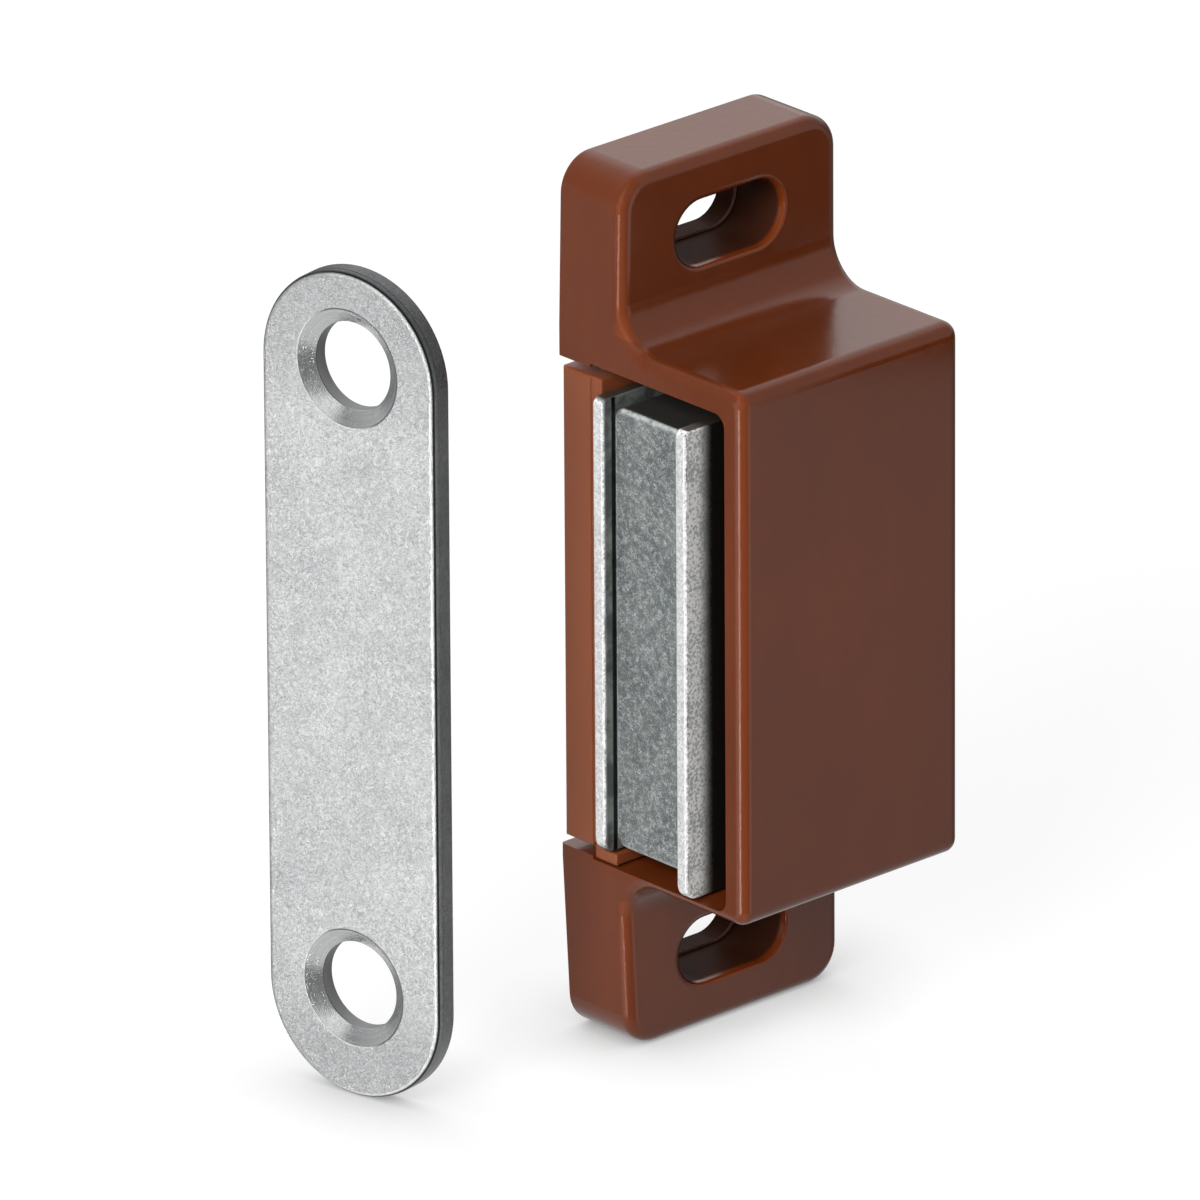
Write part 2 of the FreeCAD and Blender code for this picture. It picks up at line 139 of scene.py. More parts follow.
# Strike plate: ends and upper edge painted darker as shade, and the painted highlight and dark
# reflection lines along its rounded rim
STRIKE_SHADED_ENDS = (13.0 * MM, 20.5 * MM)
STRIKE_EDGE_SHADE_END = (14 * MM, 20 * MM)
STRIKE_OUTLINE = (0.16 * MM, 0.10 * MM)
STRIKE_BEVEL_LINE = 0.19 * MM
STRIKE_EDGE_LINE = 0.07 * MM

# Stamped edges of the strike plate
STRIKE_ROLLOVER = 0.30 * MM
STRIKE_BURR = 0.08 * MM
STRIKE_GROOVE_DEPTH = 0.035 * MM
STRIKE_GROOVE_TOP = 0.40 * MM
STRIKE_GROOVE_WIDTH = 0.07 * MM
STRIKE_CUT_START = 0.14 * MM
STRIKE_CUT_END = 0.05 * MM
SINK_LIP = 0.07 * MM
SINK_MARGIN = 0.10 * MM

# Scratches: the noise levels that they follow, the shift in millimetres from one to the next,
# and how far from its level each scratch reaches
SCRATCH_CONTOURS = (0.42, 0.5, 0.58)
SCRATCH_SHIFT = (3.1, 1.7, 2.3)
FERRITE_SCRATCH = 0.030
STRIKE_STROKE = 0.050

# Distances from an edge over which a finish fades away, and the depths of the bumps
FERRITE_GROUND = (0.10 * MM, 0.30 * MM)
FERRITE_FRONT = (0.06 * MM, 0.22 * MM)
FERRITE_PALE_EDGE = (0.05 * MM, 0.30 * MM)
FERRITE_BUMP = 0.005 * MM
PLATE_CUT = (0.03 * MM, 0.09 * MM)
PLATE_BUMP = 0.025 * MM
STRIKE_BUMP = 0.014 * MM
MOULDING_BUMP = 0.0004 * MM

# Noise patterns: the size of their blots, detail, roughness and distortion
PATTERNS = {
    "moulding_clouds": (9 * MM, 3.0, 0.55, 0.0),
    "moulding_flow": (1.6 * MM, 2.0, 0.5, 0.0),
    "moulding_skin": (0.55 * MM, 2.0, 0.45, 0.0),
    "moulding_grain": (0.07 * MM, 2.0, 0.6, 0.0),
    "ferrite_clouds": (2.6 * MM, 3.0, 0.6, 0.0),
    "ferrite_mottle": (0.16 * MM, 2.0, 0.6, 0.8),
    "ferrite_patches": (0.45 * MM, 2.0, 0.6, 0.0),
    "ferrite_dust": (0.09 * MM, 1.0, 0.5, 0.0),
    "ferrite_chip_highlights": (0.35 * MM, 3.0, 0.6, 0.0),
    "ferrite_pores": (0.06 * MM, 2.0, 0.6, 0.0),
    "ferrite_scratches": (0.30 * MM, 2.0, 0.55, 1.2),
    "plate_pebbles": (0.17 * MM, 2.0, 0.55, 0.5),
    "plate_grain": (0.05 * MM, 2.0, 0.6, 0.0),
    "plate_clouds": (1.4 * MM, 3.0, 0.6, 0.0),
    "plate_pits": (0.13 * MM, 1.0, 0.4, 0.0),
    "plate_seam_breaks": (1.1 * MM, 4.0, 0.7, 0.0),
    "strike_clouds": (3.2 * MM, 3.0, 0.6, 0.0),
    "strike_crinkle": (0.26 * MM, 3.0, 0.66, 1.8),
    "strike_grain": (0.09 * MM, 2.0, 0.6, 0.6),
    "strike_strokes": (0.42 * MM, 2.0, 0.55, 1.2),
    "sink_rings": (0.035 * MM, 2.0, 0.7, 0.0),
}

# Colours, as the eight-bit numbers that a screen shows
COLOURS = {
    "housing_light": (107, 48, 18),
    "housing_dark": (99, 44, 16),
    "housing_rim_glow": (120, 54, 20),
    "slot_lip_glow": (124, 54, 20),
    "slot_wall_shade_dark": (50, 25, 15),
    "slot_wall_shade_light": (64, 34, 22),
    "slot_ledge_highlight": (150, 112, 98),
    "cover_light": (138, 75, 45),
    "cover_dark": (130, 70, 41),
    "ferrite_dark": (80, 85, 85),
    "ferrite_light": (110, 115, 114),
    "ferrite_scratch": (214, 220, 219),
    "ferrite_chip_highlight": (214, 219, 218),
    "ferrite_raw_shaded_dark": (40, 39, 37),
    "ferrite_raw_shaded_light": (62, 60, 57),
    "plated_dark": (184, 186, 184),
    "plated_light": (255, 255, 254),
    "sheared_dark": (204, 205, 204),
    "sheared_light": (251, 251, 251),
    "plate_spot": (70, 70, 67),
    "plate_end_shade": (70, 60, 52),
    "plate_contact_shadow": (16, 15, 14),
    "inner_grime": (92, 96, 93),
    "inner_painted_shade_light": (142, 147, 142),
    "outer_grime": (34, 30, 26),
    "zinc_dark": (179, 182, 183),
    "zinc_light": (247, 249, 249),
    "zinc_stroke": (254, 254, 254),
    "zinc_shaded_ends": (164, 166, 167),
    "sink_dark": (212, 214, 214),
    "sink_light": (232, 233, 234),
    "sink_left_dark_reflection": (122, 124, 125),
    "sink_rim": (120, 122, 123),
    "bore": (124, 126, 127),
    "bore_line_shade": (46, 47, 48),
    "edge_dark": (112, 114, 115),
    "edge_light": (140, 142, 143),
    "edge_end_shade": (84, 85, 86),
    "strike_outline_dark_reflection": (58, 59, 60),
    "strike_line_dark_reflection": (30, 31, 32),
    "gleam": (255, 255, 255),
}


class Wire:
    """A node's output. Python arithmetic on it adds Math nodes."""

    def __init__(self, bench, socket):
        self.bench = bench
        self.socket = socket

    def math(self, operation, *values):
        return self.bench.add("ShaderNodeMath", {"operation": operation},
                              dict(enumerate(values)))

    def __add__(self, other):
        return self.math("ADD", self, other)

    def __radd__(self, other):
        return self.math("ADD", other, self)

    def __sub__(self, other):
        return self.math("SUBTRACT", self, other)

    def __rsub__(self, other):
        return self.math("SUBTRACT", other, self)

    def __mul__(self, other):
        return self.math("MULTIPLY", self, other)

    def __rmul__(self, other):
        return self.math("MULTIPLY", other, self)

    def __truediv__(self, other):
        return self.math("DIVIDE", self, other)

    def __rtruediv__(self, other):
        return self.math("DIVIDE", other, self)

    def __neg__(self):
        return self.math("MULTIPLY", self, -1.0)

    def __abs__(self):
        return self.math("ABSOLUTE", self)

    def __pow__(self, other):
        return self.math("POWER", self, other)

    def smaller(self, other):
        return self.math("MINIMUM", self, other)

    def larger(self, other):
        return self.math("MAXIMUM", self, other)

    def out(self, name):
        return Wire(self.bench, self.socket.node.outputs[name])


class Bench:
    """Adds nodes to one tree, of a material, the world or a geometry group."""

    def __init__(self, tree):
        self.tree = tree

    def add(self, kind, settings=None, sockets=None, output=0):
        node = self.tree.nodes.new(kind)
        for name, value in (settings or {}).items():
            if name == "stops":
                self.set_stops(node.color_ramp, value)
            else:
                setattr(node, name, value)
        for name, value in (sockets or {}).items():
            self.feed(node.inputs[name], value)
        return Wire(self, node.outputs[output]) if node.outputs else node

    def feed(self, socket, value):
        if isinstance(value, Wire):
            self.tree.links.new(value.socket, socket)
        else:
            socket.default_value = value

    @staticmethod
    def set_stops(ramp, stops):
        while len(ramp.elements) < len(stops):
            ramp.elements.new(1.0)
        for element, (place, colour) in zip(ramp.elements, stops):
            element.position = place
            element.color = colour

    def place(self):
        """The point on the piece, in its own coordinates."""
        return self.add("ShaderNodeTexCoord", output="Object")

    def split(self, vector):
        parts = self.add("ShaderNodeSeparateXYZ", None, {0: vector})
        return parts, parts.out("Y"), parts.out("Z")

    def vector(self, operation, first, second, output=0):
        return self.add("ShaderNodeVectorMath", {"operation": operation},
                        {0: first, 1: second}, output)

    def reach(self, first, second):
        """The distance that two steps at right angles make."""
        return (first * first + second * second) ** 0.5

    def noise(self, place, pattern):
        """Noise from 0 to 1 in one of the named patterns."""
        size, detail, roughness, distortion = PATTERNS[pattern]
        return self.add("ShaderNodeTexNoise", None, {
            "Vector": place, "Scale": 1.0 / size, "Detail": detail,
            "Roughness": roughness, "Distortion": distortion})

    def fade(self, value, start, end, low=0.0, high=1.0):
        """A smooth step from low at start to high at end."""
        return self.add("ShaderNodeMapRange", {"interpolation_type": "SMOOTHSTEP"}, {
            "Value": value, "From Min": start, "From Max": end,
            "To Min": low, "To Max": high})

    def mix_colour(self, share, first, second, blend="MIX"):
        node = self.tree.nodes.new("ShaderNodeMix")
        node.data_type = "RGBA"
        node.blend_type = blend
        for socket, value in zip((node.inputs[0], node.inputs[6], node.inputs[7]),
                                 (share, first, second)):
            self.feed(socket, value)
        return Wire(self, node.outputs[2])

    def band(self, value, middle, half, soft):
        """1 within a half width of a middle, falling to 0 over a soft border."""
        return self.fade(abs(value - middle), half, half + soft, 1.0, 0.0)

    def bump(self, height, distance, under=None):
        sockets = {"Height": height, "Distance": distance, "Strength": 1.0}
        if under is not None:
            sockets["Normal"] = under
        return self.add("ShaderNodeBump", None, sockets)


def colour(name):
    """A named colour as the light values that a shader takes."""
    shares = [part / 255 for part in COLOURS[name]]
    linear = [share / 12.92 if share <= 0.04045 else ((share + 0.055) / 1.055) ** 2.4
              for share in shares]
    return (*linear, 1.0)


def new_material(name):
    """An empty material with its bench."""
    material = bpy.data.materials.new(name)
    material.use_nodes = True
    material.node_tree.nodes.clear()
    return material, Bench(material.node_tree)


def plastic_or_metal(bench, **sockets):
    """A shader whose sockets are named by words joined with underscores."""
    named = {name.replace("_", " "): value for name, value in sockets.items()}
    return bench.add("ShaderNodeBsdfPrincipled", None, named)


def finish_with(bench, shader):
    bench.add("ShaderNodeOutputMaterial", None, {"Surface": shader})


def make_moulding(name, light, dark, roughness, skin_depth, slotted=False, soft_edge=None):
    """Glossy brown moulded plastic with faint flow marks and a soft skin."""
    material, bench = new_material(name)
    place = bench.place()
    clouds = bench.noise(place, "moulding_clouds")
    flow = bench.noise(bench.vector("MULTIPLY", place, (1.0, 1.0, 0.22)), "moulding_flow")
    skin = bench.noise(place, "moulding_skin")
    grain = bench.noise(place, "moulding_grain")
    tone = clouds * 0.7 + flow * 0.3
    paint = bench.mix_colour(bench.fade(tone, 0.3, 0.7), colour(dark), colour(light))
    rounded = soft_edge and bench.add("ShaderNodeBevel", {"samples": 8}, {"Radius": soft_edge})
    normal = bench.bump(skin, skin_depth, rounded)
    if slotted:
        from_middle = slot_reach(bench, place)
        # Painted glow: the thin rims get a lighter, redder colour, as light shining through the
        # moulding would give them.
        paint = bench.mix_colour(housing_rim_glows(bench, place), paint, colour("housing_rim_glow"))
        # Painted glow: a lighter, redder band along each slot's rounded lip.
        lip = bench.band(from_middle, SLOT_WIDTH / 2 + 0.06 * MM, 0.04 * MM, 0.16 * MM)
        paint = bench.mix_colour(lip * 0.6, paint, colour("slot_lip_glow"))
        out = 1.0 - ((from_middle - SLOT_WIDTH / 2) / SLOT_LIP).larger(0.0).smaller(1.0)
        normal = bench.bump(out * out * -0.5, SLOT_LIP, normal)
    normal = bench.bump(grain, MOULDING_BUMP, normal)
    finish = plastic_or_metal(
        bench, Base_Color=paint, Normal=normal, Specular_IOR_Level=0.38,
        Roughness=roughness + (tone - 0.5) * 0.12 + grain * 0.05,
        Subsurface_Weight=0.18, Subsurface_Radius=(1.0, 0.32, 0.12), Subsurface_Scale=0.8 * MM)
    if slotted:
        finish = with_slot_walls(bench, finish, bench.split(place)[0], from_middle, tone, grain,
                                 normal)
    finish_with(bench, finish)
    return material


def with_slot_walls(bench, finish, across, from_middle, tone, grain, normal):
    """The finish, with dull walls darkened by painted shade and a painted highlight line at the
    ledge inside the screw slots.
    """
    # Painted highlight: a pale line along the ledge's edge.
    ledge = bench.band(across, SLOT_LEDGE_X, 0.004 * MM, 0.02 * MM)
    # Painted shade: the walls deep inside the slots get darker colours.
    wall = bench.mix_colour(tone, colour("slot_wall_shade_dark"), colour("slot_wall_shade_light"))
    dull = plastic_or_metal(
        bench, Base_Color=bench.mix_colour(ledge, wall, colour("slot_ledge_highlight")),
        Normal=normal, Roughness=0.40 + grain * 0.1, Specular_IOR_Level=0.02)
    inside = bench.fade(from_middle, SLOT_WIDTH / 2 + 0.02 * MM, SLOT_WIDTH / 2 + 0.10 * MM,
                        1.0, 0.0)
    wall_shade_end, wall_shade_start = SLOT_SHADE_FROM
    inside = inside * bench.fade(across, LUG_FACE_X - wall_shade_end, LUG_FACE_X - wall_shade_start,
                                 1.0, 0.0)
    return bench.add("ShaderNodeMixShader", None, {0: inside, 1: finish, 2: dull})


def slot_reach(bench, place):
    """How far a point lies from the middle line of the nearer screw slot."""
    _, deep, high = bench.split(place)
    along_slot = (abs(deep) - (SLOT_LENGTH - SLOT_WIDTH) / 2).larger(0.0)
    return bench.reach(along_slot, abs(high) - SLOT_SPACING / 2)


def housing_rim_glows(bench, place):
    """1 on the upright outer rims beside the door, where the moulding is thin and a redder painted
    glow stands for light shining through it, and 0 elsewhere.
    """
    across, deep, high = bench.split(place)
    low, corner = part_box("housing")
    lugs = bench.fade(abs(high), *LUG_ROOT)
    outer_x = corner.x - lugs * (corner.x - LUG_FACE_X)
    from_rim = (outer_x - across).larger(deep - low.y)
    return bench.fade(from_rim, *RIM_GLOW_FADE, 1.0, 0.0)


def crossed_scratches(bench, place, pattern, width):
    """Thin curling scratches, as the contour lines of twisted noise."""
    lines = []
    for index, share in enumerate(SCRATCH_CONTOURS):
        moved = bench.vector("ADD", place, tuple(step * index * MM for step in SCRATCH_SHIFT))
        twisted = bench.noise(moved, pattern)
        lines.append(1.0 - bench.fade(abs(twisted - share), 0.0, width))
    return functools.reduce(Wire.larger, lines)


def make_ferrite(box_low, box_high):
    """Sintered ferrite: a ground grey front with curling pale scratches, and raw sides that are dark
    in themselves and painted darker still as shade in the pocket.
    """
    material, bench = new_material("ferrite_grey")
    place = bench.place()
    across, deep, high = bench.split(place)
    clouds = bench.noise(place, "ferrite_clouds")
    mottle = bench.noise(place, "ferrite_mottle")
    scratches = crossed_scratches(bench, place, "ferrite_scratches", FERRITE_SCRATCH)
    patches = bench.fade(bench.noise(place, "ferrite_patches"), 0.36, 0.60)
    dust = bench.fade(bench.noise(place, "ferrite_dust"), 0.58, 0.74)
    base = bench.mix_colour(bench.fade(clouds * 0.5 + mottle * 0.5, 0.34, 0.66),
                            colour("ferrite_dark"), colour("ferrite_light"))
    rubbed = bench.mix_colour((scratches * patches * 0.62).larger(dust * 0.35), base,
                              colour("ferrite_scratch"))
    # Raw sides: their own dark colour, with painted shade from the pocket added.
    raw_shaded = bench.mix_colour(mottle, colour("ferrite_raw_shaded_dark"), colour("ferrite_raw_shaded_light"))
    ground = bench.fade(deep, *[box_low.y + depth for depth in FERRITE_GROUND], 1.0, 0.0)
    paint = bench.mix_colour(ground, raw_shaded, rubbed)
    front = bench.fade(deep, *[box_low.y + depth for depth in FERRITE_FRONT], 1.0, 0.0)
    # A pale line painted along the front's edges, partly chipped edges and partly a painted
    # highlight, broken up by noise.
    from_side = (across - box_low.x).smaller(box_high.x - across)
    from_end = (high - box_low.z).smaller(box_high.z - high)
    near_edge = bench.fade(from_side.smaller(from_end), *FERRITE_PALE_EDGE, 1.0, 0.0)
    chips = bench.fade(bench.noise(place, "ferrite_chip_highlights"), 0.30, 0.62)
    paint = bench.mix_colour(near_edge * front * chips * 0.75, paint, colour("ferrite_chip_highlight"))
    relief = scratches * -0.5 + bench.noise(place, "ferrite_pores") + mottle * 0.6
    finish_with(bench, plastic_or_metal(
        bench, Base_Color=paint, Metallic=0.0, Specular_IOR_Level=0.5,
        Roughness=0.46 + (clouds - 0.5) * 0.15 - scratches * 0.12,
        Normal=bench.bump(relief, FERRITE_BUMP)))
    return material


def make_pole_steel(name, box_low, box_high, painted_shade_name, painted_shade_depths, tucked_depth=None):
    """Plated steel sheet: pale cut front edge, and pebbled faces painted darker further back, as
    painted shade in the pocket. Their top and bottom ends are painted darker as shade too.

    A tucked depth is how far the magnet's front lies behind the plate's, with a painted contact
    shadow line there.
    """
    material, bench = new_material(name)
    place = bench.place()
    across, deep, high = bench.split(place)
    depth = deep - box_low.y
    pebbles = bench.noise(place, "plate_pebbles")
    grain = bench.noise(place, "plate_grain")
    clouds = bench.noise(place, "plate_clouds")
    pits = bench.fade(bench.noise(place, "plate_pits"), 0.70, 0.80)

    cut = bench.fade(depth, *PLATE_CUT, 1.0, 0.0)
    tone = bench.fade(pebbles * 0.7 + clouds * 0.3, 0.42, 0.56)
    plated = bench.mix_colour(tone, colour("plated_dark"), colour("plated_light"))
    sheared = bench.mix_colour(bench.fade(pebbles * 0.5 + grain * 0.5, 0.38, 0.62),
                               colour("sheared_dark"), colour("sheared_light"))
    paint = bench.mix_colour(cut, plated, sheared)

    seam = bench.band(depth, 0.12 * MM, 0.01 * MM, 0.025 * MM)
    seam = seam * bench.fade(across, box_high.x - 0.14 * MM, box_high.x - 0.10 * MM)
    broken = bench.fade(bench.noise(place, "plate_seam_breaks"), 0.48, 0.60)
    paint = bench.mix_colour((pits * 0.35).larger(seam * broken * 0.8), paint,
                             colour("plate_spot"))

    # Painted shade: the plate is painted darker further back inside the pocket, with a ragged
    # border.
    painted_shade_start, painted_shade_end = painted_shade_depths
    ragged = depth + (pebbles - 0.5) * 0.5 * (painted_shade_end - painted_shade_start)
    shade_mask = bench.fade(ragged, painted_shade_start, painted_shade_end)
    painted_shade = colour(painted_shade_name)
    if tucked_depth:
        painted_shade = bench.mix_colour(bench.fade(clouds, 0.40, 0.62), painted_shade,
                                 colour("inner_painted_shade_light"))
        # Painted contact shadow: a dark line where the magnet's front meets the plate.
        contact_shadow = bench.band(depth, tucked_depth - 0.02 * MM, 0.08 * MM, 0.10 * MM)
        contact_shadow = contact_shadow * bench.fade(across, box_high.x - 0.06 * MM, box_high.x - 0.03 * MM)
        painted_shade = bench.mix_colour(contact_shadow, painted_shade, colour("plate_contact_shadow"))
    paint = bench.mix_colour(shade_mask, paint, painted_shade)

    # Painted shade on the plate's top and bottom end faces, which sit in the pocket's shade.
    middle, half_height = (box_low.z + box_high.z) / 2, (box_high.z - box_low.z) / 2
    end = bench.fade(abs(high - middle), half_height - 0.05 * MM, half_height - 0.02 * MM)
    paint = bench.mix_colour(end * (1.0 - cut) * 0.9, paint, colour("plate_end_shade"))
    relief = pebbles * (1.0 - cut * 0.75) + grain * 0.2 - pits * 0.3
    finish_with(bench, plastic_or_metal(
        bench, Base_Color=paint, Metallic=0.06 + cut * 0.34 + shade_mask * 0.35,
        Roughness=0.36 + (clouds - 0.5) * 0.18,
        Normal=bench.bump(relief, PLATE_BUMP)))
    return material


def hole_masks(bench, layout, across, high, ahead):
    """Where the sinks are turned, the fine rings in them, their rims, and the painted highlight on
    the rims' lower left.
    """
    off_back = bench.fade(ahead, 0.01 * MM - layout["thickness"], 0.04 * MM - layout["thickness"])
    masks = []
    for hole in layout["holes"]:
        radius = bench.reach(across, high - hole)
        turned = bench.fade(radius, layout["sink"] - 0.02 * MM, layout["sink"] + 0.01 * MM,
                            1.0, 0.0) * off_back
        rings = bench.noise(bench.add("ShaderNodeCombineXYZ", None, {0: radius, 1: ahead}),
                            "sink_rings") * turned
        rim = bench.band(radius, layout["sink"] + 0.02 * MM, 0.02 * MM, 0.03 * MM) * off_back
        lower_left = bench.fade(across * 0.87 + (high - hole) * 0.5, layout["sink"] * -0.35,
                                layout["sink"] * 0.15, 1.0, 0.0)
        masks.append((turned, rings, rim, lower_left * rim))
    return [lower.larger(upper) for lower, upper in zip(*masks)]


def sink_paint(bench, layout, across, ahead, rings, bored):
    """The turned metal of the sinks, with duller bores, the left side painted darker as a dark
    reflection, and a dark line painted as shade where the bores start on the left.
    """
    left_side = bench.fade(across, -layout["bore"] * 0.4, layout["bore"] * 0.2, 1.0, 0.0)
    bore_line_shade = bench.band(ahead, -layout["sink_depth"] - 0.03 * MM, 0.01 * MM, 0.03 * MM)
    paint = bench.mix_colour(bench.fade(rings, 0.3, 0.7), colour("sink_dark"),
                             colour("sink_light"))
    paint = bench.mix_colour(bored, paint, colour("bore"))
    paint = bench.mix_colour(left_side * 0.20, paint, colour("sink_left_dark_reflection"))
    return bench.mix_colour(bore_line_shade * left_side * 0.85, paint, colour("bore_line_shade"))


def with_stamped_edge(bench, layout, face, tone, across, high):
    """The face's paint, with the darker sheared edge, its upper end painted darker as shade, and
    painted highlight and dark reflection lines along the rim.
    """
    half_width = layout["width"] / 2
    beyond = (abs(high) - (layout["length"] - layout["width"]) / 2).larger(0.0)
    from_spine = bench.reach(across, beyond)
    cut = bench.fade(from_spine, half_width - STRIKE_CUT_START, half_width - STRIKE_CUT_END)
    sheared = bench.mix_colour(tone, colour("edge_dark"), colour("edge_light"))
    # Painted shade: the sheared edge turns darker towards the upper end.
    sheared = bench.mix_colour(bench.fade(high, *STRIKE_EDGE_SHADE_END) * 0.75, sheared,
                               colour("edge_end_shade"))
    paint = bench.mix_colour(cut, face, sheared)
    # Painted reflection: a dark outline on the left rim, and a white highlight line with a dark line
    # beside it on the right rim.
    to_right = bench.fade(across, half_width * -0.55, 0.0)
    outline_start, outline_end = STRIKE_OUTLINE
    outline = bench.fade(from_spine, half_width - outline_start, half_width - outline_end)
    paint = bench.mix_colour(outline * (1.0 - to_right) * 0.9, paint, colour("strike_outline_dark_reflection"))
    bevel = bench.band(from_spine, half_width - STRIKE_BEVEL_LINE, 0.035 * MM, 0.03 * MM)
    paint = bench.mix_colour(bevel * to_right, paint, colour("gleam"))
    line = bench.band(from_spine, half_width - STRIKE_EDGE_LINE, 0.02 * MM, 0.03 * MM)
    return bench.mix_colour(line * to_right * 0.9, paint, colour("strike_line_dark_reflection"))


def make_strike_steel(layout):
    """Zinc-plated plate: crinkled satin face, turned sinks, and a darker stamped edge."""
    material, bench = new_material("strike_steel_plated")
    place = bench.place()
    offset = bench.vector("SUBTRACT", place, tuple(layout["centre"]))
    across, high, ahead = [bench.vector("DOT_PRODUCT", offset, tuple(layout[way]), "Value")
                           for way in ("across", "long_way", "front")]
    clouds = bench.noise(place, "strike_clouds")
    crinkle = bench.noise(place, "strike_crinkle")
    grain = bench.noise(place, "strike_grain")
    strokes = crossed_scratches(bench, place, "strike_strokes", STRIKE_STROKE)
    turned, rings, rims, gleam = hole_masks(bench, layout, across, high, ahead)
    bored = turned * bench.fade(ahead, -layout["sink_depth"] - 0.06 * MM,
                                -layout["sink_depth"], 1.0, 0.0)
    plain = 1.0 - turned

    tone = bench.fade(crinkle * 0.6 + clouds * 0.2 + grain * 0.2, 0.34, 0.66)
    face = bench.mix_colour(tone, colour("zinc_dark"), colour("zinc_light"))
    face = bench.mix_colour(strokes * 0.5, face, colour("zinc_stroke"))
    # Painted shade: the face turns darker towards both ends.
    face = bench.mix_colour(bench.fade(abs(high), *STRIKE_SHADED_ENDS) * 0.40, face,
                            colour("zinc_shaded_ends"))
    paint = with_stamped_edge(bench, layout, face, tone, across, high)
    paint = bench.mix_colour(rims, paint, colour("sink_rim"))
    # Painted highlight on the lower left of the sink rims.
    paint = bench.mix_colour(gleam, paint, colour("gleam"))
    paint = bench.mix_colour(turned * (1.0 - rims), paint,
                             sink_paint(bench, layout, across, ahead, rings, bored))
    relief = crinkle * 1.0 + grain * 0.35 + strokes * 0.8
    finish_with(bench, plastic_or_metal(
        bench, Base_Color=paint, Metallic=1.0 - bored * 0.8,
        Roughness=plain * (0.36 + (crinkle - 0.5) * 0.22 + (clouds - 0.5) * 0.08)
        + turned * (0.17 + (crinkle - 0.5) * 0.24) + bored * 0.30,
        Normal=bench.bump(relief * (0.25 + plain * 0.75) + rings * 0.05, STRIKE_BUMP)))
    return material


def geometry_group(name, inputs):
    """An empty geometry tree with its bench and a wire for each named length."""
    tree = bpy.data.node_groups.new(name, "GeometryNodeTree")
    for label in inputs:
        socket = tree.interface.new_socket(label, in_out="INPUT", socket_type="NodeSocketFloat")
        socket.subtype = "DISTANCE"
    tree.interface.new_socket("Geometry", in_out="OUTPUT", socket_type="NodeSocketGeometry")
    bench = Bench(tree)
    source = tree.nodes.new("NodeGroupInput")
    return tree, bench, {label: Wire(bench, source.outputs[label]) for label in inputs}


def run_group(tree, name, values):
    """The tree's result as a plain mesh object. Inputs are set by their identifiers."""
    seed = bpy.data.objects.new(name, bpy.data.meshes.new(name))
    bpy.context.scene.collection.objects.link(seed)
    modifier = seed.modifiers.new(name, "NODES")
    modifier.node_group = tree
    for item in tree.interface.items_tree:
        if item.in_out == "INPUT":
            modifier[item.identifier] = values[item.name]
    apply_modifiers(seed)
    return seed


def bent_profile(bench, corners):
    """An open profile through corners of (outward, deep, rounding radius)."""
    def by_index(kind, values):
        switch = bench.tree.nodes.new("GeometryNodeIndexSwitch")
        switch.data_type = kind
        while len(switch.index_switch_items) < len(values):
            switch.index_switch_items.new()
        bench.feed(switch.inputs[0], bench.add("GeometryNodeInputIndex"))
        for socket, value in zip(switch.inputs[1:], values):
            bench.feed(socket, value)
        return Wire(bench, switch.outputs[0])

    points = [bench.add("ShaderNodeCombineXYZ", None, {0: outward, 1: deep})
              for outward, deep, _ in corners]
    line = bench.add("GeometryNodeMeshLine", None, {"Count": len(corners)})
    curve = bench.add("GeometryNodeMeshToCurve", None, {"Mesh": line})
    bent = bench.add("GeometryNodeSetPosition", None, {
        "Geometry": curve, "Position": by_index("VECTOR", points)})
    return bench.add("GeometryNodeFilletCurve", {"mode": "POLY"}, {
        "Curve": bent, "Count": 4, "Limit Radius": True,
        "Radius": by_index("FLOAT", [radius for _, _, radius in corners])})


def sweep(bench, path, profile):
    return bench.add("GeometryNodeCurveToMesh", None, {"Curve": path, "Profile Curve": profile})


def joined(bench, *parts):
    node = bench.tree.nodes.new("GeometryNodeJoinGeometry")
    for part in reversed(parts):
        bench.tree.links.new(part.socket, node.inputs[0])
    return Wire(bench, node.outputs[0])


